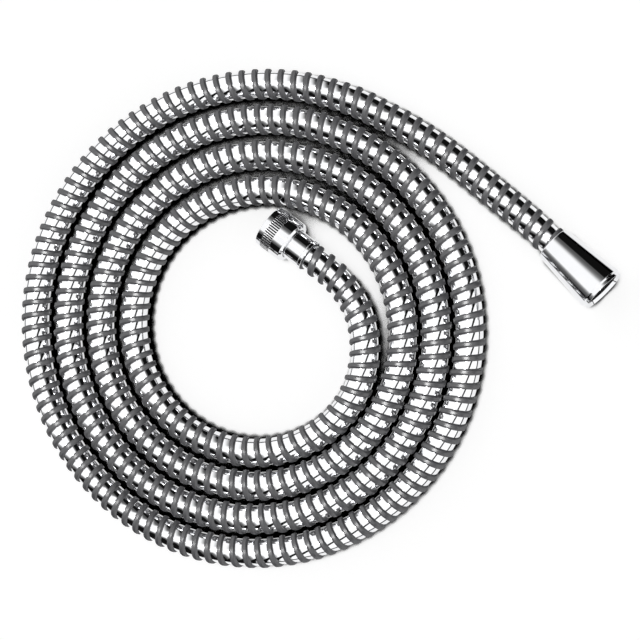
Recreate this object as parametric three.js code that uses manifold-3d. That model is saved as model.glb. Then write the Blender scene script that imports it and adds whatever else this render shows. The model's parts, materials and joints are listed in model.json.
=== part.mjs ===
// A metal-effect shower hose, laid flat in a loose coil, with a conical nut on its
// outer end and a knurled union nut with a crimp ferrule on its inner end.
// Millimetres, +Z up, the floor at z = 0.

import * as THREE from 'three';
import { mergeVertices } from 'three/addons/utils/BufferGeometryUtils.js';
import Module from 'manifold-3d';

const wasm = await Module();
wasm.setup();

// Hose: a ribbed cover over a plain water tube
const hoseDiameter = 16;
const coverWall = 2;
const coverClearance = 0.5;
const waterTubeWall = 1.5;
const sectionSides = 12;
const waterTubeSides = 10;
const hoseSteps = 86;

// Gap between pieces that touch or slide on each other
const gap = 0.3;

// Half-inch pipe thread of both nuts: the bore is the thread's root
const threadRoot = 20.955;
const threadClearance = 0.15;
const mouthChamfer = 0.25;
const threadDepth = 6.3;

// Pieces stacked in each nut, from the mouth inwards
const washerThickness = 2;
const washerDiameter = 18.8;
const washerHole = 10;
const flangeThickness = 2;
const flangeDiameter = 19.8;
const slipRingThickness = 1;
const slipRingDiameter = 19.8;

// Tail: the barbed spigot that the water tube is pushed on
const neckDiameter = 13.6;
const neckLength = 4.1;
const barbClearance = 0.5;
const barbHeight = 0.4;
const barbCount = 3;
const barbPitch = 3.2;
const stemWall = 0.7;
const grip = 2.5;

// Sleeve that is crimped over the water tube's end
const sleeveLength = 14;
const sleeveWall = 2.2;

// Conical nut
const coneLength = 35;
const coneMouthDiameter = 25.4;
const coneRearDiameter = 19.2;
const coneBoreClearance = 0.4;
const coneRearRound = 0.9;
const coneLipWidth = 1.9;
const coneGrooveWidth = 0.5;
const coneGrooveDepth = 0.35;
const coneLipRound = 0.4;

// Union nut
const unionDiameter = 23.5;
const unionLength = 16.5;
const unionFrontBand = 3.1;
const unionFrontRound = 0.4;
const unionRearChamferLength = 1.2;
const unionRearChamferDepth = 1.05;
const knurlLength = 6;
const knurlDepth = 0.35;
const knurlWidth = 0.62;
const knurlCount = 60;
const knurlOvercut = 1.5;

// Ferrule: the sleeve that shows behind the union nut
const ferruleWall = 2.6;
const ferruleLipWall = 0.55;
const ferruleLipLength = 2;
const ferruleLipRound = 0.35;
const ferruleRimChamfer = 0.2;
const coverTuck = 1.2;

// Where the ends lie, seen from above: the middle of each mouth and the way it faces
const coneMouth = new THREE.Vector2(145.9, 14.1);
const coneHeading = THREE.MathUtils.degToRad(-44.7);
const unionMouth = new THREE.Vector2(-27.2, 50.1);
const unionHeading = THREE.MathUtils.degToRad(143);

// Coil: turns are counted anticlockwise from the top, and its middle creeps a little
const coilCentre = new THREE.Vector2(-38.2, -2.6);
const coilCreep = new THREE.Vector2(1.15, -0.73);
const coilRadius = 130;
const coilGap = 2.45;
const coilOval = 0.6;
const coilOvalTurn = 0.15;
const coilStart = -0.07;
const coilEnd = 3.58;
const coilPointsPerTurn = 24;

// Hose from the conical nut to the coil, and from the coil to the union nut
const outerRun = [
  [111.9, 47.6, 8.7],
  [104.4, 54.2, 8.3],
  [94.4, 62.8, 8.06],
  [84.4, 71.4, 8],
  [74.6, 79.7, 8],
  [64.5, 87.7, 8],
  [53.7, 95.4, 8],
  [42.2, 102.6, 8],
  [30.0, 109.2, 8],
];
const innerRun = [
  [5.5, -55.6, 8],
  [12.2, -48.9, 8],
  [17.2, -41.9, 8],
  [20.8, -34.6, 8],
  [23.1, -27, 8],
  [24.3, -19.2, 8],
  [24.3, -11.3, 8],
  [23.2, -3.5, 8],
  [20.9, 4, 8.1],
  [17.5, 10.9, 8.5],
  [13.2, 17.2, 9.2],
  [8.3, 22.8, 10.1],
  [3, 27.4, 11],
];

// The hose stays straight a little past each fitting
const straightExit = 0.8;
const straightRun = 4;

const latheSides = 48;
const smallLatheSides = 32;

// How far the middle of a rounded edge lies inside its corner, for a round of 1
const roundMiddle = 1 - Math.SQRT1_2;

// Places along a nut's axis, from its mouth inwards
const washerFront = threadDepth;
const flangeFront = washerFront + washerThickness + gap;
const slipRingFront = flangeFront + flangeThickness + gap;
const shoulder = slipRingFront + slipRingThickness + gap;
const sleeveFront = shoulder;
const neckEnd = flangeFront + flangeThickness + neckLength;
const waterTubeEnd = neckEnd + gap;
const sleeveEnd = sleeveFront + sleeveLength;
const coverEnd = sleeveEnd + gap;
const ferruleEnd = coverEnd + coverTuck;

// Tubes and bores nested in the hose, from the outside in
const coverBore = hoseDiameter - 2 * coverWall;
const waterTubeDiameter = coverBore - 2 * coverClearance;
const waterTubeBore = waterTubeDiameter - 2 * waterTubeWall;
const barbRadius = waterTubeBore / 2 - barbClearance;
const stemRadius = barbRadius - barbHeight;
const waterwayRadius = stemRadius - stemWall;

// Other radii that follow from the sizes above
const socketRadius = (threadRoot + threadClearance) / 2;
const neckHoleRadius = neckDiameter / 2 + gap;
const pocketRadius = waterTubeDiameter / 2 + gap;
const hiddenSleeveRadius = pocketRadius + sleeveWall;
const ferruleRadius = pocketRadius + ferruleWall;
const ferruleMouthRadius = hoseDiameter / 2 + gap;
const ferruleLipRadius = ferruleMouthRadius + ferruleLipWall;

const finishes = {
  chrome: { color: 0xd9dbde, roughness: 0.08, metalness: 1 },
  ribbedFoil: { color: 0x8a8b90, roughness: 0.3, metalness: 0.7 },
  waterTube: { color: 0xcfd3d6, roughness: 0.5, metalness: 0 },
  brass: { color: 0xb8944a, roughness: 0.35, metalness: 1 },
  rubber: { color: 0x1d1d1f, roughness: 0.8, metalness: 0 },
  slipPlastic: { color: 0xe9e9e4, roughness: 0.45, metalness: 0 },
};

function makeMesh(name, geometry, finish) {
  const mesh = new THREE.Mesh(geometry, new THREE.MeshStandardMaterial(finishes[finish]));
  mesh.name = name;
  return mesh;
}

// A turned piece: radius and place along the axis, once round the section
function turned(section, sides) {
  const points = section.map(([radius, along]) => new THREE.Vector2(radius, along));
  points.push(points[0].clone());
  return new THREE.LatheGeometry(points, sides);
}

function ring(innerRadius, outerRadius, from, to, sides) {
  const section = [
    [innerRadius, from],
    [outerRadius, from],
    [outerRadius, to],
    [innerRadius, to],
  ];
  return turned(section, sides);
}

// Solids for cutting
function toSolid(geometry) {
  const bare = geometry.clone();
  bare.deleteAttribute('normal');
  bare.deleteAttribute('uv');
  const merged = mergeVertices(bare, 1e-4);
  const vertProperties = new Float32Array(merged.attributes.position.array);
  const triVerts = new Uint32Array(merged.index.array);
  return new wasm.Manifold(new wasm.Mesh({ numProp: 3, vertProperties, triVerts }));
}

function toGeometry(solid) {
  const mesh = solid.getMesh();
  const geometry = new THREE.BufferGeometry();
  geometry.setAttribute('position', new THREE.BufferAttribute(mesh.vertProperties, 3));
  geometry.setIndex(new THREE.BufferAttribute(mesh.triVerts, 1));
  geometry.computeVertexNormals();
  return geometry;
}

// Conical nut: the lip ring, a fine groove and the cone down to the rounded rear end
const coneTaper = (coneMouthDiameter - coneRearDiameter) / 2 / coneLength;
const coneTilt = Math.asin(coneTaper);

function coneRadius(along) {
  return coneMouthDiameter / 2 - along * coneTaper;
}

function conicalNut() {
  const grooveEnd = coneLipWidth + coneGrooveWidth;
  const rearBore = hoseDiameter / 2 + coneBoreClearance;
  const roundInset = coneRearRound * roundMiddle;
  const section = [
    [socketRadius + mouthChamfer, 0],
    [coneRadius(0) - coneLipRound, 0],
    [coneRadius(coneLipRound), coneLipRound],
    [coneRadius(coneLipWidth), coneLipWidth],
    [coneRadius(coneLipWidth) - coneGrooveDepth, coneLipWidth],
    [coneRadius(grooveEnd) - coneGrooveDepth, grooveEnd],
    [coneRadius(grooveEnd), grooveEnd],
    [coneRadius(coneLength - coneRearRound), coneLength - coneRearRound],
    [coneRadius(coneLength) - roundInset, coneLength - roundInset],
    [coneRadius(coneLength) - coneRearRound, coneLength],
    [rearBore, coneLength],
    [rearBore, shoulder],
    [socketRadius, shoulder],
    [socketRadius, mouthChamfer],
  ];
  return turned(section, latheSides);
}

// Union nut: plain front band, straight knurl, plain rear band and a rear chamfer
function unionNut() {
  const radius = unionDiameter / 2;
  const rearBore = ferruleRadius + gap;
  const section = [
    [socketRadius + mouthChamfer, 0],
    [radius - unionFrontRound, 0],
    [radius, unionFrontRound],
    [radius, unionLength - unionRearChamferLength],
    [radius - unionRearChamferDepth, unionLength],
    [rearBore, unionLength],
    [rearBore, shoulder],
    [socketRadius, shoulder],
    [socketRadius, mouthChamfer],
  ];
  let nut = toSolid(turned(section, knurlCount));
  const cutWidth = knurlWidth * knurlOvercut;
  const cutTop = knurlDepth * (knurlOvercut - 1);
  const groove = new THREE.Shape([
    new THREE.Vector2(0, -knurlDepth),
    new THREE.Vector2(cutWidth / 2, cutTop),
    new THREE.Vector2(-cutWidth / 2, cutTop),
  ]);
  const cutter = new THREE.ExtrudeGeometry(groove, { depth: knurlLength, bevelEnabled: false });
  const flatRadius = radius * Math.cos(Math.PI / knurlCount);
  cutter.rotateX(-Math.PI / 2);
  cutter.rotateY(Math.PI);
  cutter.translate(0, unionFrontBand, flatRadius);
  for (let k = 0; k < knurlCount; k += 1) {
    const turn = ((k + 0.5) / knurlCount) * 2 * Math.PI;
    const placed = cutter.clone().rotateY(turn);
    nut = nut.subtract(toSolid(placed));
  }
  return toGeometry(nut);
}

// Tail: flange, neck, and a stem with saw-tooth barbs, bored right through
function tail() {
  const stemEnd = neckEnd + grip + barbCount * barbPitch;
  const section = [
    [waterwayRadius, flangeFront],
    [flangeDiameter / 2, flangeFront],
    [flangeDiameter / 2, flangeFront + flangeThickness],
    [neckDiameter / 2, flangeFront + flangeThickness],
    [neckDiameter / 2, neckEnd],
    [stemRadius, neckEnd],
  ];
  for (let k = 0; k < barbCount; k += 1) {
    const barbFoot = neckEnd + grip + k * barbPitch;
    section.push([stemRadius, barbFoot]);
    section.push([barbRadius, barbFoot]);
  }
  section.push([stemRadius, stemEnd]);
  section.push([waterwayRadius, stemEnd]);
  return turned(section, smallLatheSides);
}

function washer() {
  return ring(washerHole / 2, washerDiameter / 2, washerFront, washerFront + washerThickness, smallLatheSides);
}

function slipRing() {
  const rear = slipRingFront + slipRingThickness;
  return ring(neckHoleRadius, slipRingDiameter / 2, slipRingFront, rear, smallLatheSides);
}

// Sleeve inside the conical nut: a front wall round the neck and a pocket for the tube
function hiddenSleeve() {
  const section = [
    [neckHoleRadius, sleeveFront],
    [hiddenSleeveRadius, sleeveFront],
    [hiddenSleeveRadius, sleeveEnd],
    [pocketRadius, sleeveEnd],
    [pocketRadius, waterTubeEnd],
    [neckHoleRadius, waterTubeEnd],
  ];
  return turned(section, smallLatheSides);
}

// Ferrule: the same sleeve, longer, with a lip that the end of the cover tucks into
function ferrule() {
  const lipStart = ferruleEnd - ferruleLipLength;
  const section = [
    [neckHoleRadius, sleeveFront],
    [ferruleRadius, sleeveFront],
    [ferruleRadius, lipStart],
    [ferruleLipRadius, lipStart + ferruleLipRound],
    [ferruleLipRadius, ferruleEnd - ferruleRimChamfer],
    [ferruleLipRadius - ferruleRimChamfer, ferruleEnd],
    [ferruleMouthRadius, ferruleEnd],
    [ferruleMouthRadius, sleeveEnd],
    [pocketRadius, sleeveEnd],
    [pocketRadius, waterTubeEnd],
    [neckHoleRadius, waterTubeEnd],
  ];
  return turned(section, latheSides);
}

// A fitting's group has its mouth at the origin and its axis, inwards, along +Y
function placeFitting(group, mouth, heading, height, fall) {
  group.position.set(mouth.x, mouth.y, height);
  group.rotation.order = 'ZXY';
  group.rotation.set(-fall, 0, heading + Math.PI / 2);
  group.updateMatrixWorld(true);
}

const coneEnd = new THREE.Group();
coneEnd.add(makeMesh('conical_nut', conicalNut(), 'chrome'));
coneEnd.add(makeMesh('cone_washer', washer(), 'rubber'));
coneEnd.add(makeMesh('cone_tail', tail(), 'brass'));
coneEnd.add(makeMesh('cone_slip_ring', slipRing(), 'slipPlastic'));
coneEnd.add(makeMesh('cone_crimp_sleeve', hiddenSleeve(), 'brass'));
placeFitting(coneEnd, coneMouth, coneHeading, coneRadius(0) * Math.cos(coneTilt), coneTilt);

const unionEnd = new THREE.Group();
unionEnd.add(makeMesh('union_nut', unionNut(), 'chrome'));
unionEnd.add(makeMesh('union_washer', washer(), 'rubber'));
unionEnd.add(makeMesh('union_tail', tail(), 'brass'));
unionEnd.add(makeMesh('union_slip_ring', slipRing(), 'slipPlastic'));
unionEnd.add(makeMesh('union_ferrule', ferrule(), 'chrome'));
placeFitting(unionEnd, unionMouth, unionHeading, unionDiameter / 2, 0);

// The hose's route, from inside the conical nut to inside the ferrule
function onAxis(group, along) {
  return group.localToWorld(new THREE.Vector3(0, along, 0));
}

function coilPoint(turn) {
  const pitch = hoseDiameter + coilGap;
  const oval = coilOval * Math.cos(4 * Math.PI * (turn - coilOvalTurn));
  const radius = coilRadius - pitch * turn + oval;
  const x = coilCentre.x + coilCreep.x * turn - radius * Math.sin(2 * Math.PI * turn);
  const y = coilCentre.y + coilCreep.y * turn + radius * Math.cos(2 * Math.PI * turn);
  return new THREE.Vector3(x, y, hoseDiameter / 2);
}

function routePoints() {
  const points = [
    onAxis(coneEnd, coneLength + straightExit),
    onAxis(coneEnd, coneLength + straightRun),
  ];
  points.push(...outerRun.map((point) => new THREE.Vector3(...point)));
  const coilCount = Math.round((coilEnd - coilStart) * coilPointsPerTurn);
  for (let k = 0; k <= coilCount; k += 1) {
    points.push(coilPoint(coilStart + ((coilEnd - coilStart) * k) / coilCount));
  }
  points.push(...innerRun.map((point) => new THREE.Vector3(...point)));
  points.push(onAxis(unionEnd, ferruleEnd + straightRun));
  points.push(onAxis(unionEnd, ferruleEnd + straightExit));
  return points;
}

// A path that keeps its stations as they are, so that tubes laid along it nest
class Stations extends THREE.Curve {
  constructor(points) {
    super();
    this.points = points;
  }

  getPoint(share, target = new THREE.Vector3()) {
    const place = share * (this.points.length - 1);
    const first = Math.min(Math.floor(place), this.points.length - 2);
    return target.lerpVectors(this.points[first], this.points[first + 1], place - first);
  }

  getUtoTmapping(share) {
    return share;
  }
}

function roundOutline(diameter, sides) {
  const corners = [];
  for (let k = 0; k < sides; k += 1) {
    const turn = (k / sides) * 2 * Math.PI;
    corners.push(new THREE.Vector2(Math.cos(turn), Math.sin(turn)).multiplyScalar(diameter / 2));
  }
  return corners;
}

function pipe(stations, diameter, bore, sides) {
  const outline = new THREE.Shape(roundOutline(diameter, sides));
  outline.holes.push(new THREE.Path(roundOutline(bore, sides).reverse()));
  const path = new Stations(stations);
  return new THREE.ExtrudeGeometry(outline, { steps: stations.length - 1, extrudePath: path });
}

const route = new THREE.CatmullRomCurve3(routePoints());
route.arcLengthDivisions = 4000;
const coverStations = [
  onAxis(coneEnd, coverEnd),
  ...route.getSpacedPoints(hoseSteps),
  onAxis(unionEnd, coverEnd),
];
const waterTubeStations = [
  onAxis(coneEnd, waterTubeEnd),
  ...coverStations,
  onAxis(unionEnd, waterTubeEnd),
];
const showerHose = new THREE.Group();
showerHose.add(makeMesh('hose_cover', pipe(coverStations, hoseDiameter, coverBore, sectionSides), 'ribbedFoil'));
showerHose.add(
  makeMesh('water_tube', pipe(waterTubeStations, waterTubeDiameter, waterTubeBore, waterTubeSides), 'waterTube'),
);
showerHose.add(coneEnd);
showerHose.add(unionEnd);

// The origin is on the floor, under the middle of the whole
const extent = new THREE.Box3().setFromObject(showerHose, true);
const middle = extent.getCenter(new THREE.Vector3());
showerHose.position.set(-middle.x, -middle.y, -extent.min.z);

export default showerHose;
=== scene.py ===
import json
import math

import bpy
import numpy as np
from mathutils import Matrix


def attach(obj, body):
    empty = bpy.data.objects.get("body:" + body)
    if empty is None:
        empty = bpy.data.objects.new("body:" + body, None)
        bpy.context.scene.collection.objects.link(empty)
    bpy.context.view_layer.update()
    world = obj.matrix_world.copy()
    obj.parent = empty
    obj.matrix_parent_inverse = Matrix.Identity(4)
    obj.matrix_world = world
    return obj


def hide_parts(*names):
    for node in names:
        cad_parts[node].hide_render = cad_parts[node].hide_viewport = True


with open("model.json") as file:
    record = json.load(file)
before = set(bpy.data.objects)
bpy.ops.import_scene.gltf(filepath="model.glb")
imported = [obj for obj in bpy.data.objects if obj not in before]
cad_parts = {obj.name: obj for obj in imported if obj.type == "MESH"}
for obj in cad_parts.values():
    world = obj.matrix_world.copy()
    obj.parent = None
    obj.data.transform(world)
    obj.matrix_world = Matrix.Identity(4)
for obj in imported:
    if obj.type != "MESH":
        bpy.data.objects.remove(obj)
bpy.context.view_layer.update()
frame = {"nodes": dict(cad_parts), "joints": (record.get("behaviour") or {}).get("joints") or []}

mm = 0.001
up = np.array([0.0, 0.0, 1.0])


def unit(vectors):
    vectors = np.asarray(vectors, float)
    return vectors / np.linalg.norm(vectors, axis=-1, keepdims=True)


# The two fittings: each has its mouth at its joint, and its axis runs inwards from there
class Fitting:
    def __init__(self, joint):
        self.mouth = np.array(joint["pos_m"])
        self.inward = -unit(joint["axis"])
        self.side = unit(np.cross(self.inward, up))
        self.top = np.cross(self.side, self.inward)

    def onAxis(self, along):
        return self.mouth + self.inward * along


joints = {joint["name"]: joint for joint in frame["joints"]}
coneEnd = Fitting(joints["cone_nut_spin"])
unionEnd = Fitting(joints["union_nut_spin"])

# The layout is drawn from the middle of the photograph; the union nut's mouth ties it to the frame
layout = dict(unionMouth=(-0.0272, 0.0501, 0.01175))
layoutOrigin = unionEnd.mouth - np.array(layout["unionMouth"])

# Camera, placed in the layout; its turn is in degrees
view = dict(
    place=(0.15239, -0.02598, 0.62789), turn=(2.4715, 13.787, 0.5894),
    lens=68.06, sensor=36.0, nearest=0.01,
)


def makeCamera():
    data = bpy.data.cameras.new("camera")
    data.lens = view["lens"]
    data.sensor_width = view["sensor"]
    data.clip_start = view["nearest"]
    camera = bpy.data.objects.new("camera", data)
    camera.location = layoutOrigin + np.array(view["place"])
    camera.rotation_euler = [math.radians(angle) for angle in view["turn"]]
    bpy.context.scene.collection.objects.link(camera)
    bpy.context.scene.camera = camera


makeCamera()
print("camera placed")


# Meshes from grids of points

# Quads over a grid whose columns close on themselves
def gridFaces(rows, columns, loopRows):
    index = np.arange(rows * columns).reshape(rows, columns)
    if loopRows:
        index = np.vstack([index, index[:1]])
    index = np.hstack([index, index[:, :1]])
    corners = [index[:-1, :-1], index[1:, :-1], index[1:, 1:], index[:-1, 1:]]
    return np.stack(corners, axis=-1).reshape(-1, 4)


# Six times the volume inside: the sum over the faces of corner . (corner x corner)
def signedVolume(points, faces):
    a, b, c, d = (points[faces[:, k]] for k in range(4))
    return np.einsum("ij,ij->", a, np.cross(b, c)) + np.einsum("ij,ij->", a, np.cross(c, d))


# A closed body from a grid: the columns close on themselves, and the rows do too or get flat ends.
# spread holds the UV coordinates of its points, and the last argument, at each, how dull the plating is and
# how much painted shade darkens it.
def gridObject(name, grid, loopRows, spread=None, dullAndShade=None):
    rows, columns = grid.shape[:2]
    points = grid.reshape(-1, 3)
    quads = gridFaces(rows, columns, loopRows)
    insideOut = signedVolume(points - points.mean(axis=0), quads) < 0
    if insideOut:
        quads = quads[:, ::-1]
    faces = quads.tolist()
    if not loopRows:
        first = list(range(columns))
        last = list(range((rows - 1) * columns, rows * columns))
        faces.append(first if insideOut else first[::-1])
        faces.append(last[::-1] if insideOut else last)
    mesh = bpy.data.meshes.new(name)
    mesh.from_pydata(points.tolist(), [], faces)
    mesh.polygons.foreach_set("use_smooth", np.ones(len(faces), bool))
    if spread is not None:
        corner = np.empty(len(mesh.loops), np.int32)
        mesh.loops.foreach_get("vertex_index", corner)
        mesh.uv_layers.new(name="UVMap").data.foreach_set("uv", spread.reshape(-1, 2)[corner].ravel())
    if dullAndShade is not None:
        mesh.attributes.new("dullAndShade", "FLOAT", "POINT").data.foreach_set("value", dullAndShade.ravel())
    mesh.validate()
    mesh.update()
    made = bpy.data.objects.new(name, mesh)
    bpy.context.scene.collection.objects.link(made)
    return made


# An outline from corners of (along, radius, rounding). Each arc touches both sides at
# rounding / tan(half the corner's angle), and a point held beyond each of its ends keeps the sides flat.
# Neither takes more than its share of the shorter side.
def rounded(corners, steps=5, hold=0.12):
    arcShare, holdShare = 0.4, 0.09
    points = np.array([corner[:2] for corner in corners], float)
    outline = []
    for here, before, after, corner in zip(points, np.roll(points, 1, 0), np.roll(points, -1, 0), corners):
        back, ahead = unit(before - here), unit(after - here)
        shortest = min(np.linalg.norm(before - here), np.linalg.norm(after - here))
        half = math.acos(np.clip(back @ ahead, -1, 1)) / 2
        reach = min(corner[2] / math.tan(half), arcShare * shortest)
        radius = reach * math.tan(half)
        centre = here + unit(back + ahead) * math.hypot(reach, radius)
        spokes = [unit(here + side * reach - centre) for side in (back, ahead)]
        bend = math.acos(np.clip(spokes[0] @ spokes[1], -1, 1))
        share = np.linspace(0, 1, steps)[:, None]
        arc = (np.sin((1 - share) * bend) * spokes[0] + np.sin(share * bend) * spokes[1]) / math.sin(bend)
        extra = min(hold, holdShare * shortest)
        outline.append(here + back * (reach + extra))
        outline.extend(centre + arc * radius)
        outline.append(here + ahead * (reach + extra))
    return np.array(outline)


# A turned piece, its outline in mm round the fitting's axis:
# mouth + inward * along + radius * (top * cos(angle) + side * sin(angle))
def turned(name, fitting, outline, sides, nut=None, cut=None):
    angle = np.linspace(0, 2 * np.pi, sides, endpoint=False)[:, None]
    along, radius = np.broadcast_arrays(outline[None, :, 0], outline[None, :, 1])
    along = np.repeat(along, sides, axis=0)
    radius = np.repeat(radius, sides, axis=0)
    depth = cut(along, radius, angle) if cut else np.zeros(radius.shape)
    # How dull the plating is at each point, and how much painted shade darkens it
    dullAndShade = dullAndShadeParts(nut, along, radius, depth) if nut else None
    radius = radius - depth
    if nut:
        radius = threaded(nut, along, radius, angle)
    spoke = np.cos(angle)[..., None] * fitting.top + np.sin(angle)[..., None] * fitting.side
    grid = fitting.mouth + mm * (along[..., None] * fitting.inward + radius[..., None] * spoke)
    return gridObject(name, grid, True, dullAndShade=dullAndShade)


def smoothStep(low, high, value):
    share = np.clip((value - low) / (high - low), 0, 1)
    return share * share * (3 - 2 * share)


# Shader nodes

# A socket that takes Python's operators; each one adds a Math node
class Value:
    def __init__(self, shader, socket):
        self.shader = shader
        self.socket = socket

    def __add__(self, other):
        return self.shader.maths("ADD", self, other)

    def __sub__(self, other):
        return self.shader.maths("SUBTRACT", self, other)

    def __mul__(self, other):
        return self.shader.maths("MULTIPLY", self, other)

    def __truediv__(self, other):
        return self.shader.maths("DIVIDE", self, other)

    def __radd__(self, other):
        return self.shader.maths("ADD", other, self)

    def __rsub__(self, other):
        return self.shader.maths("SUBTRACT", other, self)

    def __rmul__(self, other):
        return self.shader.maths("MULTIPLY", other, self)


class Shader:
    def __init__(self, tree):
        self.tree = tree
        tree.nodes.clear()

    # Any node: its settings first, then the values or links of its sockets
    def node(self, kind, settings=None, inputs=None, output=0):
        made = self.tree.nodes.new(kind)
        for key, value in (settings or {}).items():
            setattr(made, key, value)
        for key, value in (inputs or {}).items():
            if isinstance(value, Value):
                self.tree.links.new(value.socket, made.inputs[key])
            else:
                made.inputs[key].default_value = value
        return Value(self, made.outputs[output]) if made.outputs else None

    def maths(self, operation, *values):
        return self.node("ShaderNodeMath", dict(operation=operation), dict(enumerate(values)))

    def clamp(self, value, low, high):
        return self.maths("MINIMUM", self.maths("MAXIMUM", value, low), high)

    # 0 below low, 1 above high, and smooth between them
    def step(self, low, high, value):
        settings = dict(interpolation_type="SMOOTHSTEP")
        inputs = {"Value": value, "From Min": low, "From Max": high}
        return self.node("ShaderNodeMapRange", settings, inputs)

    def dot(self, vector, direction):
        inputs = {0: vector, 1: tuple(direction)}
        return self.node("ShaderNodeVectorMath", dict(operation="DOT_PRODUCT"), inputs, "Value")

    def coordinates(self, kind="Object"):
        return self.node("ShaderNodeTexCoord", output=kind)

    def stretched(self, coordinates, scale):
        return self.node("ShaderNodeMapping", None, {"Vector": coordinates, "Scale": scale})

    def noise(self, coordinates, scale, detail=2.0):
        inputs = {"Vector": coordinates, "Scale": scale, "Detail": detail}
        return self.node("ShaderNodeTexNoise", None, inputs)

    # Two colours mixed, each a link or fixed; the node's colour is its output 2
    def colours(self, share, *ends):
        first, second = (end if isinstance(end, Value) else (*end, 1.0) for end in ends)
        inputs = {"Factor": share, "A": first, "B": second}
        return self.node("ShaderNodeMix", dict(data_type="RGBA"), inputs, 2)

    def bump(self, height, distance):
        return self.node("ShaderNodeBump", None, {"Height": height, "Distance": distance})

    # The base colour and the roughness of a look, where a share from 0 to 1 drifts over the piece
    def tint(self, look, share):
        return self.colours(share, look["shade"], look["light"])

    def rough(self, look, share):
        least, spread = look["rough"]
        return least + spread * share

    # 1 for the rays that see the background: the camera's own, and those by way of metal or glass
    def seenRays(self):
        kinds = ("Is Camera Ray", "Is Glossy Ray", "Is Transmission Ray")
        rays = [self.node("ShaderNodeLightPath", output=kind) for kind in kinds]
        return self.maths("MINIMUM", rays[0] + rays[1] + rays[2], 1.0)

    def principled(self, **inputs):
        named = {key.replace("_", " "): value for key, value in inputs.items()}
        return self.node("ShaderNodeBsdfPrincipled", None, named)


def makeMaterial(name, paint):
    made = bpy.data.materials.new(name)
    made.use_nodes = True
    shader = Shader(made.node_tree)
    surface = paint(shader)
    shader.node("ShaderNodeOutputMaterial", None, {"Surface": surface})
    return made


# Looks: shade and light are the ends of the base colour, rough is the least roughness and its spread,
# scales are of the noise, and the other lengths are the bump's height in metres
# The chrome's darkest colour is painted shade, for the knurl's grooves and the nuts' bores
chromeLook = dict(
    shade=(0.80, 0.81, 0.83), light=(0.88, 0.88, 0.89), dullAndShade=(0.018, 0.018, 0.019),
    scale=120.0, rough=(0.035, 0.04), dullRough=0.3, polishScale=900.0, polish=0.000004,
)
foilLook = dict(
    shade=(0.84, 0.85, 0.87), light=(0.93, 0.93, 0.94), scale=60.0, rough=(0.035, 0.04),
    creaseStretch=(0.25, 1.0, 1.0), creaseScale=900.0, creases=0.000005,
)
ribLook = dict(
    shade=(0.088, 0.088, 0.094), light=(0.110, 0.110, 0.117), scale=90.0, rough=(0.18, 0.08),
    specular=0.8, grainScale=2500.0, grain=0.000005,
)
rubberLook = dict(
    shade=(0.015, 0.015, 0.016), light=(0.035, 0.035, 0.036), scale=1800.0, rough=(0.6, 0.2),
    speckle=0.00003,
)
brassLook = dict(
    shade=(0.62, 0.46, 0.2), light=(0.78, 0.62, 0.32), scale=300.0, rough=(0.22, 0.15), turning=0.00001,
)
slipLook = dict(shade=(0.78, 0.78, 0.75), light=(0.86, 0.86, 0.83), scale=400.0, rough=(0.38, 0.12))
tubeLook = dict(
    shade=(0.62, 0.65, 0.67), light=(0.88, 0.89, 0.89), rough=(0.3, 0.25),
    yarnScale=60.0, yarnSlope=0.5, braid=0.00008,
)


# Polished chrome: fine wavy polish, and a roughness that drifts a little. Where a piece's attribute says
# so, in the knurl and in the nuts' bores, the plating is rougher and its colour is painted shade, nearly
# black.
def paintChrome(shader):
    place = shader.coordinates()
    drift = shader.noise(place, chromeLook["scale"])
    polish = shader.noise(place, chromeLook["polishScale"], detail=1.0)
    dullAndShade = shader.node("ShaderNodeAttribute", dict(attribute_name="dullAndShade"), output="Fac")
    return shader.principled(
        # Painted shade: the base colour goes nearly black in the knurl's grooves and the bores
        Base_Color=shader.colours(dullAndShade, shader.tint(chromeLook, drift), chromeLook["dullAndShade"]),
        Metallic=1.0,
        Roughness=shader.rough(chromeLook, drift) + chromeLook["dullRough"] * dullAndShade,
        Normal=shader.bump(polish, chromeLook["polish"]),
    )


# Metallised foil: fine creases run along the strip, beside the ribs
def paintFoil(shader):
    strip = shader.node("ShaderNodeUVMap", dict(uv_map="UVMap"))
    creases = shader.noise(shader.stretched(strip, foilLook["creaseStretch"]), foilLook["creaseScale"])
    drift = shader.noise(shader.coordinates(), foilLook["scale"])
    return shader.principled(
        Base_Color=shader.tint(foilLook, drift),
        Metallic=1.0,
        Roughness=shader.rough(foilLook, drift),
        Normal=shader.bump(creases, foilLook["creases"]),
    )


# Rib: semi-gloss grey plastic with a fine flow grain
def paintRib(shader):
    place = shader.coordinates()
    drift = shader.noise(place, ribLook["scale"])
    grain = shader.noise(place, ribLook["grainScale"])
    return shader.principled(
        Base_Color=shader.tint(ribLook, drift),
        Roughness=shader.rough(ribLook, drift),
        Normal=shader.bump(grain, ribLook["grain"]),
        Specular_IOR_Level=ribLook["specular"],
    )


def paintRubber(shader):
    speckle = shader.noise(shader.coordinates(), rubberLook["scale"], detail=3.0)
    return shader.principled(
        Base_Color=shader.tint(rubberLook, speckle),
        Roughness=shader.rough(rubberLook, speckle),
        Normal=shader.bump(speckle, rubberLook["speckle"]),
    )


def paintBrass(shader):
    drift = shader.noise(shader.coordinates(), brassLook["scale"], detail=3.0)
    return shader.principled(
        Base_Color=shader.tint(brassLook, drift),
        Metallic=1.0,
        Roughness=shader.rough(brassLook, drift),
        Normal=shader.bump(drift, brassLook["turning"]),
    )


def paintSlipPlastic(shader):
    drift = shader.noise(shader.coordinates(), slipLook["scale"])
    return shader.principled(
        Base_Color=shader.tint(slipLook, drift),
        Roughness=shader.rough(slipLook, drift),
    )


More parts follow.
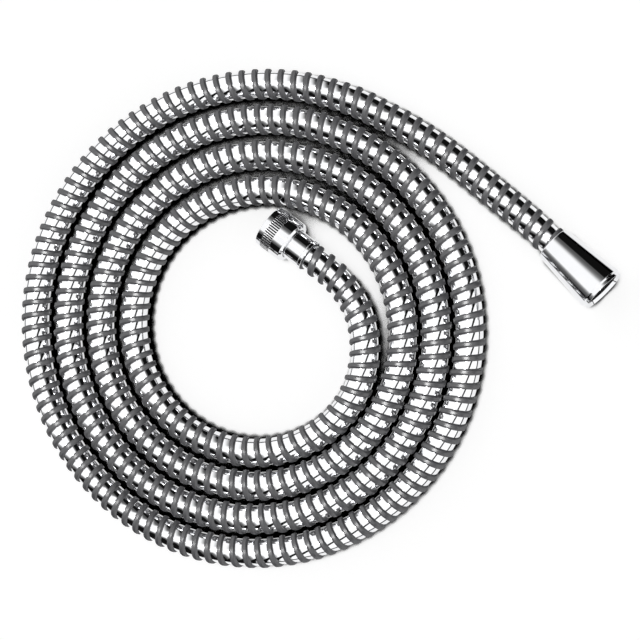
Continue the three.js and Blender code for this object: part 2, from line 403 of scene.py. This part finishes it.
# Water tube: milky plastic over a braid of crossing yarns
def paintTube(shader):
    wall = shader.node("ShaderNodeUVMap", dict(uv_map="UVMap"))
    yarns = []
    for slope in (tubeLook["yarnSlope"], -tubeLook["yarnSlope"]):
        slanted = shader.stretched(wall, (1.0, slope, 1.0))
        inputs = {"Vector": slanted, "Scale": tubeLook["yarnScale"]}
        yarns.append(shader.node("ShaderNodeTexWave", None, inputs, 1))
    braid = shader.maths("MAXIMUM", *yarns)
    return shader.principled(
        Base_Color=shader.tint(tubeLook, braid),
        Roughness=shader.rough(tubeLook, braid),
        Normal=shader.bump(braid, tubeLook["braid"]),
    )


chrome = makeMaterial("polished_chrome", paintChrome)
foil = makeMaterial("metallised_foil", paintFoil)
greyPlastic = makeMaterial("grey_rib_plastic", paintRib)
rubber = makeMaterial("black_rubber", paintRubber)
brass = makeMaterial("turned_brass", paintBrass)
slipPlastic = makeMaterial("white_slip_plastic", paintSlipPlastic)
tubePlastic = makeMaterial("braided_tube_plastic", paintTube)


def finishPiece(piece, body, slot, material, *nodes):
    piece.data.materials.append(material)
    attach(piece, body)
    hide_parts(*nodes)
    return piece


print("materials made")


# The hose's route: listed points, in metres in the layout, and the coil's turns between them

outerRun = [
    (0.1119, 0.0476, 0.0087),
    (0.1044, 0.0542, 0.0083),
    (0.0944, 0.0628, 0.00806),
    (0.0844, 0.0714, 0.008),
    (0.0746, 0.0797, 0.008),
    (0.0645, 0.0877, 0.008),
    (0.0537, 0.0954, 0.008),
    (0.0422, 0.1026, 0.008),
    (0.0300, 0.1092, 0.008),
]
innerRun = [
    (0.0055, -0.0556, 0.008),
    (0.0122, -0.0489, 0.008),
    (0.0172, -0.0419, 0.008),
    (0.0208, -0.0346, 0.008),
    (0.0231, -0.0270, 0.008),
    (0.0243, -0.0192, 0.008),
    (0.0243, -0.0113, 0.008),
    (0.0232, -0.0035, 0.008),
    (0.0209, 0.0040, 0.0081),
    (0.0175, 0.0109, 0.0085),
    (0.0132, 0.0172, 0.0092),
    (0.0083, 0.0228, 0.0101),
    (0.0030, 0.0274, 0.0110),
]
coil = dict(
    centre=(-0.0382, -0.0026), creep=(0.00115, -0.00073), radius=0.130, pitch=0.01845, height=0.008,
    oval=0.0006, ovalTurn=0.15, start=-0.07, end=3.58, pointsPerTurn=24,
)
# Along each fitting's axis: where the cover starts, and the straight stretch that it leaves by
exits = dict(coverEnd=0.0265, coneRear=0.035, ferruleRear=0.0277, straight=(0.0008, 0.004))


# Coil: radius = first radius - pitch * turn + a small oval, round a centre that creeps from turn to turn
def coilPoints():
    count = round((coil["end"] - coil["start"]) * coil["pointsPerTurn"])
    turn = np.linspace(coil["start"], coil["end"], count + 1)
    oval = coil["oval"] * np.cos(4 * np.pi * (turn - coil["ovalTurn"]))
    radius = coil["radius"] - coil["pitch"] * turn + oval
    x = coil["centre"][0] + coil["creep"][0] * turn - radius * np.sin(2 * np.pi * turn)
    y = coil["centre"][1] + coil["creep"][1] * turn + radius * np.cos(2 * np.pi * turn)
    return np.stack([x, y, np.full_like(x, coil["height"])], axis=1)


# Centripetal Catmull-Rom curve: its knots are the root of a chord apart, and each span is a cubic whose
# slopes match at the knots
def smoothCurve(points, samples=40):
    ends = [2 * points[0] - points[1], 2 * points[-1] - points[-2]]
    padded = np.vstack([ends[0], points, ends[1]])
    knots = np.sqrt(np.linalg.norm(np.diff(padded, axis=0), axis=1))[:, None]
    a, b, c, d = padded[:-3], padded[1:-2], padded[2:-1], padded[3:]
    before, here, after = knots[:-2], knots[1:-1], knots[2:]
    leave = ((b - a) / before - (c - a) / (before + here) + (c - b) / here) * here
    arrive = ((c - b) / here - (d - b) / (here + after) + (d - c) / after) * here
    t = np.linspace(0, 1, samples, endpoint=False)[:, None, None]
    cubic = (2 * b - 2 * c + leave + arrive) * t**3 + (3 * c - 3 * b - 2 * leave - arrive) * t**2
    curve = (cubic + leave * t + b).transpose(1, 0, 2).reshape(-1, 3)
    return np.vstack([curve, points[-1]])


def hoseRoute():
    near, far = exits["straight"]
    points = np.vstack([
        coneEnd.onAxis(exits["coneRear"] + near),
        coneEnd.onAxis(exits["coneRear"] + far),
        layoutOrigin + np.array(outerRun),
        layoutOrigin + coilPoints(),
        layoutOrigin + np.array(innerRun),
        unionEnd.onAxis(exits["ferruleRear"] + far),
        unionEnd.onAxis(exits["ferruleRear"] + near),
    ])
    start, end = coneEnd.onAxis(exits["coverEnd"]), unionEnd.onAxis(exits["coverEnd"])
    return np.vstack([start, smoothCurve(points), end])


# The route at even steps, with its direction, the way up across it, and the way out to its right
class Route:
    def __init__(self, points, step=0.0005):
        reach = np.concatenate([[0], np.cumsum(np.linalg.norm(np.diff(points, axis=0), axis=1))])
        self.length = reach[-1]
        self.place = np.linspace(0, self.length, round(self.length / step) + 1)
        self.points = np.stack([np.interp(self.place, reach, points[:, k]) for k in range(3)], axis=1)
        ahead = unit(np.gradient(self.points, axis=0))
        self.lift = unit(up - ahead * (ahead @ up)[:, None])
        self.right = np.cross(self.lift, ahead)

    # centre(place) + radius * (right * cos(angle) + lift * sin(angle)), for whole arrays
    def around(self, place, radius, angle):
        centre, right, lift = (
            np.stack([np.interp(place, self.place, track[:, k]) for k in range(3)], axis=-1)
            for track in (self.points, self.right, self.lift)
        )
        spoke = right * np.cos(angle)[..., None] + lift * np.sin(angle)[..., None]
        return centre + radius[..., None] * spoke


route = Route(hoseRoute())
print(f"route: {route.length:.4f} m")

# The hose, in mm but for its diameter. ribStart is in pitches, and ribArc counts a shoulder's points.
hose = dict(
    diameter=0.016, pitch=7.09, bore=6.0, stepsPerTurn=23,
    ribWidth=3.1, ribFlare=0.1, ribFoot=6.15, ribFootRound=0.02, ribRadius=8.2, ribRound=1.0,
    ribArc=3, ribHold=0.0, ribStart=0.95,
    foilRadius=6.8, foilBulge=0.22, foilSeam=0.1, foilPoints=7,
    tubeRadius=5.5, tubeBore=4.0, tubeSides=20, tubeSteps=420,
)


# A strip wound on the route: its outline, along and radius in mm, moves one pitch ahead each turn.
# It starts and ends past the hose's ends, and is cut off square there.
def wound(name, outline, start):
    pitch = hose["pitch"] * mm
    reach = np.abs(outline[:, 0]).max() * mm
    begin = start - pitch * math.ceil((start + reach) / pitch)
    turns = (route.length + reach - begin) / pitch
    steps = int(turns * hose["stepsPerTurn"])
    angle = np.linspace(0, 2 * np.pi * turns, steps)[:, None]
    ahead = begin + angle / (2 * np.pi) * pitch
    place = np.clip(ahead + outline[None, :, 0] * mm, 0, route.length)
    radius = np.broadcast_to(outline[None, :, 1] * mm, place.shape)
    grid = route.around(place, radius, np.broadcast_to(angle, place.shape))
    run = angle * hose["foilRadius"] * mm
    spread = np.stack(np.broadcast_arrays(run, outline[None, :, 0] * mm), axis=-1)
    return gridObject(name, grid, False, spread)


# Rib: flat-topped with round shoulders, its sharp foot sunk between the foil's edges
def ribOutline():
    half = hose["ribWidth"] / 2
    foot = half + hose["ribFlare"]
    corners = [
        (-foot, hose["ribFoot"], hose["ribFootRound"]),
        (-half, hose["ribRadius"], hose["ribRound"]),
        (half, hose["ribRadius"], hose["ribRound"]),
        (foot, hose["ribFoot"], hose["ribFootRound"]),
    ]
    perCorner = hose["ribArc"] + 2
    shoulders = rounded(corners, hose["ribArc"], hose["ribHold"])[perCorner:-perCorner]
    return np.vstack([corners[0][:2], shoulders, corners[-1][:2]])


# Foil: the strip bulges by a small arc of a parabola between the ribs
def foilOutline():
    half = hose["pitch"] / 2 - hose["foilSeam"]
    across = np.linspace(-half, half, hose["foilPoints"])
    bulge = hose["foilBulge"] * (1 - (across / half) ** 2)
    outer = np.stack([across, hose["foilRadius"] + bulge], axis=1)
    inner = np.array([(half, hose["bore"]), (-half, hose["bore"])])
    return np.vstack([outer, inner])


def makeHose():
    ribStart = hose["ribStart"] * hose["pitch"] * mm
    rib = wound("wound_rib", ribOutline(), ribStart)
    strip = wound("wound_foil", foilOutline(), ribStart + hose["pitch"] / 2 * mm)
    return rib, strip


# Water tube: rings along the route, once along the outside and back through the bore
def makeTube():
    sides, steps = hose["tubeSides"], hose["tubeSteps"]
    place = np.linspace(0, route.length, steps)
    angle = np.linspace(0, 2 * np.pi, sides, endpoint=False)
    there = np.broadcast_to(place[:, None], (steps, sides))
    turn = np.broadcast_to(angle[None, :], (steps, sides))
    walls = [
        route.around(way, np.full(way.shape, radius * mm), turn)
        for way, radius in ((there, hose["tubeRadius"]), (there[::-1], hose["tubeBore"]))
    ]
    spread = np.stack([there, turn * hose["tubeRadius"] * mm], axis=-1)
    return gridObject("water_hose", np.vstack(walls), True, np.vstack([spread, spread[::-1]]))


ribPiece, foilPiece = makeHose()
finishPiece(foilPiece, "hose", "chrome", foil, "hose_cover")
finishPiece(ribPiece, "hose", "ribbed_cover", greyPlastic, "hose_cover")
finishPiece(makeTube(), "hose", "water_tube", tubePlastic, "water_tube")
print("hose made")


# Pieces of the two fittings, in mm from the mouth inwards

# What both share: the socket, the washer, the barbed tail and the ferrule's pocket
stack = dict(
    socket=10.5525, washerFront=6.3, washerThickness=2.0, washer=9.4, washerHole=5.0, washerSides=96,
    flangeFront=8.6, flangeThickness=2.0, flange=9.9, neck=6.8, neckEnd=14.7,
    stem=3.1, barb=3.5, barbs=3, barbPitch=3.2, grip=2.5, waterway=2.4, tailSides=64, tailArc=4,
    shoulder=12.2, pocket=5.8, pocketFront=15.0, neckHole=7.1,
)
thread = dict(pitch=1.814, depth=1.12, end=5.8, fade=0.7, middle=0.5, swing=0.65)
coneNut = dict(
    length=35.0, mouth=12.7, rear=9.6, rearBore=8.4, rearRound=0.9, sides=192,
    lip=1.6, stepLength=0.75, stepDepth=0.87, lipRound=0.2,
    leadIn=1.6, leadInRadius=11.5, threadStart=1.8, threadPoints=45,
)
unionNut = dict(
    length=16.5, radius=11.75, rearBore=8.7, frontRound=0.4, chamferLength=1.2, chamferDepth=1.05,
    leadIn=0.35, leadInRadius=10.9, threadStart=0.8, threadPoints=50,
    knurlStart=3.1, knurlEnd=9.1, knurlDepth=0.35, knurlFade=0.3, knurls=54, knurlSides=10,
    knurlSteps=(-0.05, 0.0, 0.1, 0.2, 0.3),
)
ferrule = dict(
    radius=8.4, lipRadius=8.85, lipStart=25.7, lipSlope=0.15, end=27.7,
    mouthRadius=8.3, mouthDepth=1.5, sides=160,
)
# Dull plating with painted shade: how far it runs past the socket, the shoulder and the bore, how far short
# of the rear it stops, and how deep a groove is where it is wholly dull and shaded
dullAndShadeEdge = dict(socket=0.01, shoulder=0.1, bore=0.02, rear=0.3, groove=0.06)


# Which points are at one radius, to a thousandth of a mm
def level(radii, radius):
    return np.abs(radii - radius) < 0.001


def boreCorners(nut):
    return [
        (stack["shoulder"], nut["rearBore"], 0.15),
        (stack["shoulder"], stack["socket"], 0.2),
        (nut["leadIn"], stack["socket"], 0.1),
        (0.0, nut["leadInRadius"], 0.1),
    ]


# A nut's outline from its outer corners, with more points where the thread is
def nutOutline(nut, corners):
    outline = rounded([*corners, *boreCorners(nut)])
    inRear = level(outline[:, 1], stack["socket"]) & (outline[:, 0] >= thread["end"])
    along = np.linspace(thread["end"], nut["threadStart"], nut["threadPoints"])
    extra = np.stack([along, np.full(along.shape, stack["socket"])], axis=1)
    return np.insert(outline, np.flatnonzero(inRear)[-1] + 1, extra, axis=0)


# Where the plating is dull and painted shade darkens it, from 0 to 1: in the socket, in the rear bore and
# in the knurl's grooves
def dullAndShadeParts(nut, along, radius, depth):
    inSocket = (radius < stack["socket"] + dullAndShadeEdge["socket"]) & (along > nut["leadIn"])
    inSocket &= along < stack["shoulder"] + dullAndShadeEdge["shoulder"]
    inBore = (radius < nut["rearBore"] + dullAndShadeEdge["bore"]) & (along < nut["length"] - dullAndShadeEdge["rear"])
    return np.where(inSocket | inBore, 1.0, smoothStep(0.0, dullAndShadeEdge["groove"], depth))


# Thread: a crest that moves one pitch inwards each turn, and fades in and out at its ends
def threaded(nut, along, radius, angle):
    phase = 2 * np.pi * along / thread["pitch"] - angle
    crest = np.clip(thread["middle"] + thread["swing"] * np.cos(phase), 0, 1)
    fadeIn = smoothStep(nut["threadStart"], nut["threadStart"] + thread["fade"], along)
    fadeOut = 1 - smoothStep(thread["end"] - thread["fade"], thread["end"], along)
    inSocket = level(radius, stack["socket"])
    return np.where(inSocket, radius - thread["depth"] * crest * fadeIn * fadeOut, radius)


# Knurl: how deep its straight V grooves are, each half a pitch wide, with short run-outs
def knurlCut(along, radius, angle):
    place = np.abs((angle / (2 * np.pi) * unionNut["knurls"]) % 1.0 - 0.5) * 2
    groove = np.clip(place * 2 - 1, 0, 1)
    start, end, fade = unionNut["knurlStart"], unionNut["knurlEnd"], unionNut["knurlFade"]
    ends = smoothStep(start, start + fade, along) * (1 - smoothStep(end - fade, end, along))
    return np.where(level(radius, unionNut["radius"]), unionNut["knurlDepth"] * groove * ends, 0)


def coneShell():
    def wallAt(along):
        return coneNut["mouth"] - (coneNut["mouth"] - coneNut["rear"]) * along / coneNut["length"]

    lip, depth = coneNut["lip"], coneNut["stepDepth"]
    stepEnd = lip + coneNut["stepLength"]
    corners = [
        (0.0, wallAt(0) - depth, coneNut["lipRound"]),
        (lip, wallAt(lip) - depth, 0.06),
        (stepEnd, wallAt(stepEnd), 0.1),
        (coneNut["length"], wallAt(coneNut["length"]), coneNut["rearRound"]),
        (coneNut["length"], coneNut["rearBore"], 0.15),
    ]
    return turned("cone_shell", coneEnd, nutOutline(coneNut, corners), coneNut["sides"], coneNut)


def unionShell():
    radius = unionNut["radius"]
    corners = [
        (0.0, radius, unionNut["frontRound"]),
        (unionNut["length"] - unionNut["chamferLength"], radius, 0.25),
        (unionNut["length"], radius - unionNut["chamferDepth"], 0.12),
        (unionNut["length"], unionNut["rearBore"], 0.12),
    ]
    outline = nutOutline(unionNut, corners)
    steps = np.array(unionNut["knurlSteps"])
    runOuts = np.sort(np.concatenate([unionNut["knurlStart"] + steps, unionNut["knurlEnd"] - steps]))
    extra = np.stack([runOuts, np.full(runOuts.shape, radius)], axis=1)
    inFront = level(outline[:, 1], radius) & (outline[:, 0] < unionNut["knurlStart"])
    outline = np.insert(outline, np.flatnonzero(inFront)[-1] + 1, extra, axis=0)
    sides = unionNut["knurls"] * unionNut["knurlSides"]
    return turned("knurled_shell", unionEnd, outline, sides, unionNut, knurlCut)


def ferruleShell():
    corners = [
        (stack["shoulder"], ferrule["radius"], 0.35),
        (ferrule["lipStart"], ferrule["radius"], 0.15),
        (ferrule["lipStart"] + ferrule["lipSlope"], ferrule["lipRadius"], 0.3),
        (ferrule["end"], ferrule["lipRadius"], 0.25),
        (ferrule["end"], ferrule["mouthRadius"], 0.1),
        (ferrule["end"] - ferrule["mouthDepth"], ferrule["mouthRadius"], 0.1),
        (ferrule["end"] - ferrule["mouthDepth"], stack["pocket"], 0.1),
        (stack["pocketFront"], stack["pocket"], 0.1),
        (stack["pocketFront"], stack["neckHole"], 0.1),
        (stack["shoulder"], stack["neckHole"], 0.1),
    ]
    return turned("ferrule_shell", unionEnd, rounded(corners), ferrule["sides"])


def seal(name, fitting):
    front, rear = stack["washerFront"], stack["washerFront"] + stack["washerThickness"]
    corners = [
        (front, stack["washer"], 0.25),
        (rear, stack["washer"], 0.25),
        (rear, stack["washerHole"], 0.2),
        (front, stack["washerHole"], 0.2),
    ]
    return turned(name, fitting, rounded(corners), stack["washerSides"])


# Barbed tail: a flange under the washer, a neck that the nut turns on, and a stem inside the tube
def spigot(name, fitting):
    flangeRear = stack["flangeFront"] + stack["flangeThickness"]
    gripEnd = stack["neckEnd"] + stack["grip"]
    feet = [gripEnd + k * stack["barbPitch"] for k in range(stack["barbs"])]
    stemEnd = gripEnd + stack["barbs"] * stack["barbPitch"]
    saw = [corner for foot in feet for corner in ((foot, stack["stem"], 0.03), (foot, stack["barb"], 0.08))]
    corners = [
        (stack["flangeFront"], stack["flange"], 0.2),
        (flangeRear, stack["flange"], 0.2),
        (flangeRear, stack["neck"], 0.2),
        (stack["neckEnd"], stack["neck"], 0.2),
        (stack["neckEnd"], stack["stem"], 0.2),
        *saw,
        (stemEnd, stack["stem"], 0.1),
        (stemEnd, stack["waterway"], 0.1),
        (stack["flangeFront"], stack["waterway"], 0.3),
    ]
    return turned(name, fitting, rounded(corners, stack["tailArc"]), stack["tailSides"])


finishPiece(coneShell(), "cone_end", "chrome", chrome, "conical_nut")
finishPiece(seal("cone_seal", coneEnd), "cone_end", "rubber", rubber, "cone_washer")
finishPiece(spigot("cone_spigot", coneEnd), "hose", "brass", brass, "cone_tail")
unionPieces = [
    finishPiece(unionShell(), "union_end", "chrome", chrome, "union_nut"),
    finishPiece(seal("union_seal", unionEnd), "union_end", "rubber", rubber, "union_washer"),
    finishPiece(spigot("union_spigot", unionEnd), "hose", "brass", brass, "union_tail"),
    finishPiece(ferruleShell(), "hose", "chrome", chrome, "union_ferrule"),
]
for node, material in (
    ("cone_slip_ring", slipPlastic),
    ("union_slip_ring", slipPlastic),
    ("cone_crimp_sleeve", brass),
):
    slots = frame["nodes"][node].data.materials
    slots.clear()
    slots.append(material)
print("fittings made")


# Floor and studio

# The floor's lengths are in metres; each level is where ambient occlusion turns its painted shade from dark
# to white
floor = dict(
    size=3.0, height=-0.0002, colour=0.36, glow=0.76, far=(0.045, 0.075),
    contact=0.006, contactLevel=(0.63, 0.88), contactShine=(0.15, 0.7),
    gap=0.02, gapLevel=(0.23, 0.34), samples=20,
)


# The floor is white where it is open, and painted shade makes it dark in the narrow gaps between the turns
# and where the object touches it. Metal shows the floor beside it white, and the floor far off as a painted
# dark reflection.
def paintFloor(shader):
    openness, width = (
        shader.node("ShaderNodeAmbientOcclusion", dict(samples=floor["samples"]), {"Distance": reach}, "AO")
        for reach in (floor["contact"], floor["gap"])
    )
    glossy = shader.node("ShaderNodeLightPath", output="Is Glossy Ray")
    length = shader.node("ShaderNodeLightPath", output="Ray Length")
    low, high = (
        plain + (shine - plain) * glossy
        for plain, shine in zip(floor["contactLevel"], floor["contactShine"])
    )
    # Painted shade in the narrow gaps between the turns, for all but glossy rays
    paintedGapShade = (1.0 - glossy) * (1.0 - shader.step(*floor["gapLevel"], width))
    # Painted dark reflection: glossy rays see the floor far off as dark
    paintedFarDark = glossy * shader.step(*floor["far"], length)
    # Painted contact shade where the object is near, weaker for glossy rays
    clear = shader.step(low, high, openness) * (1.0 - paintedFarDark) * (1.0 - paintedGapShade)
    colour = shader.colours(clear, (0.0, 0.0, 0.0), (floor["colour"],) * 3)
    strength = floor["glow"] * clear * shader.seenRays()
    diffuse = shader.node("ShaderNodeBsdfDiffuse", None, {"Color": colour})
    glow = shader.node("ShaderNodeEmission", None, {"Color": (1, 1, 1, 1), "Strength": strength})
    return shader.node("ShaderNodeAddShader", None, {0: diffuse, 1: glow})


def makeFloor():
    half = floor["size"] / 2
    corners = [(-half, -half), (half, -half), (half, half), (-half, half)]
    mesh = bpy.data.meshes.new("floor")
    mesh.from_pydata([(x, y, floor["height"]) for x, y in corners], [], [(0, 1, 2, 3)])
    mesh.materials.append(makeMaterial("white_floor", paintFloor))
    plane = bpy.data.objects.new("floor", mesh)
    bpy.context.scene.collection.objects.link(plane)


# Studio: white all round, but for a narrow dark gap between two panels that runs from the lower left
# to the upper right, a dark corner at each of its ends, and a small bright panel overhead. The panel's
# size and soft edge are in degrees; all other reaches are parts of a direction of length 1.
studio = dict(
    run=(0.656, 0.755, 0.0), aside=(0.755, -0.656, 0.0),
    gap=(0.345, 0.49), gapEdge=0.02,
    farFrom=(-0.02, 0.5), farSlope=2.3, farBend=-0.24, farTo=0.72,
    fadeSide=(0.985, -0.174, 0.0), fade=(-0.36, -0.1),
    nearFrom=0.47, nearTo=0.72, nearNarrow=0.6,
    grey=0.08, greyEdge=0.03,
    panelAt=(-0.14, 0.0, 0.99), panelSize=8.0, panelEdge=4.0,
    glow=0.8, shine=1.15, panel=7.0, panelShine=15.0, dark=0.006,
)


# A dark corner: the white fades by the cube of what is left, then a grey rim ends at a clear edge
def cornerLight(shader, reach, start, end):
    left = 1.0 - shader.clamp((reach - start) / (end - start), 0.0, 1.0)
    rim = 1.0 - shader.step(end - studio["greyEdge"], end, reach)
    return (studio["grey"] + (1.0 - studio["grey"]) * left * left * left) * rim


# How light the studio is in each direction, from 0 to 1
def panelLight(shader, toward):
    run, aside = shader.dot(toward, studio["run"]), shader.dot(toward, studio["aside"])
    low, high = studio["gap"]
    beyond = shader.step(high, high + studio["gapEdge"], aside)
    gap = shader.step(low - studio["gapEdge"], low, aside) * (1.0 - beyond)
    nearest, farthest = studio["farFrom"]
    bend = farthest + studio["farSlope"] * (aside - studio["farBend"])
    start = shader.clamp(bend, nearest, farthest)
    fade = shader.step(*studio["fade"], shader.dot(toward, studio["fadeSide"])) * (1.0 - beyond)
    farCorner = 1.0 - fade * (1.0 - cornerLight(shader, run, start, studio["farTo"]))
    back = 0.0 - run - studio["nearNarrow"] * shader.maths("ABSOLUTE", aside)
    nearCorner = cornerLight(shader, back, studio["nearFrom"], studio["nearTo"])
    return (1.0 - gap) * farCorner * nearCorner


def lightStudio():
    world = bpy.data.worlds.new("studio")
    world.use_nodes = True
    bpy.context.scene.world = world
    shader = Shader(world.node_tree)
    toward = shader.coordinates("Generated")
    lit = panelLight(shader, toward)
    edges = (studio["panelSize"] + side * studio["panelEdge"] / 2 for side in (-1, 1))
    near, far = (math.cos(math.radians(edge)) for edge in edges)
    panel = shader.step(far, near, shader.dot(toward, unit(studio["panelAt"])))
    glossy = shader.node("ShaderNodeLightPath", output="Is Glossy Ray")
    camera = shader.node("ShaderNodeLightPath", output="Is Camera Ray")
    allRound = studio["glow"] + (studio["shine"] - studio["glow"]) * glossy
    panelLevel = studio["panel"] + (studio["panelShine"] - studio["panel"]) * glossy
    light = studio["dark"] + allRound * lit + panelLevel * panel
    strength = camera + (1.0 - camera) * light
    background = shader.node("ShaderNodeBackground", None, {"Color": (1, 1, 1, 1), "Strength": strength})
    shader.node("ShaderNodeOutputWorld", None, {"Surface": background})


makeFloor()
lightStudio()
bpy.context.scene.view_settings.view_transform = "Standard"
print("studio lit")
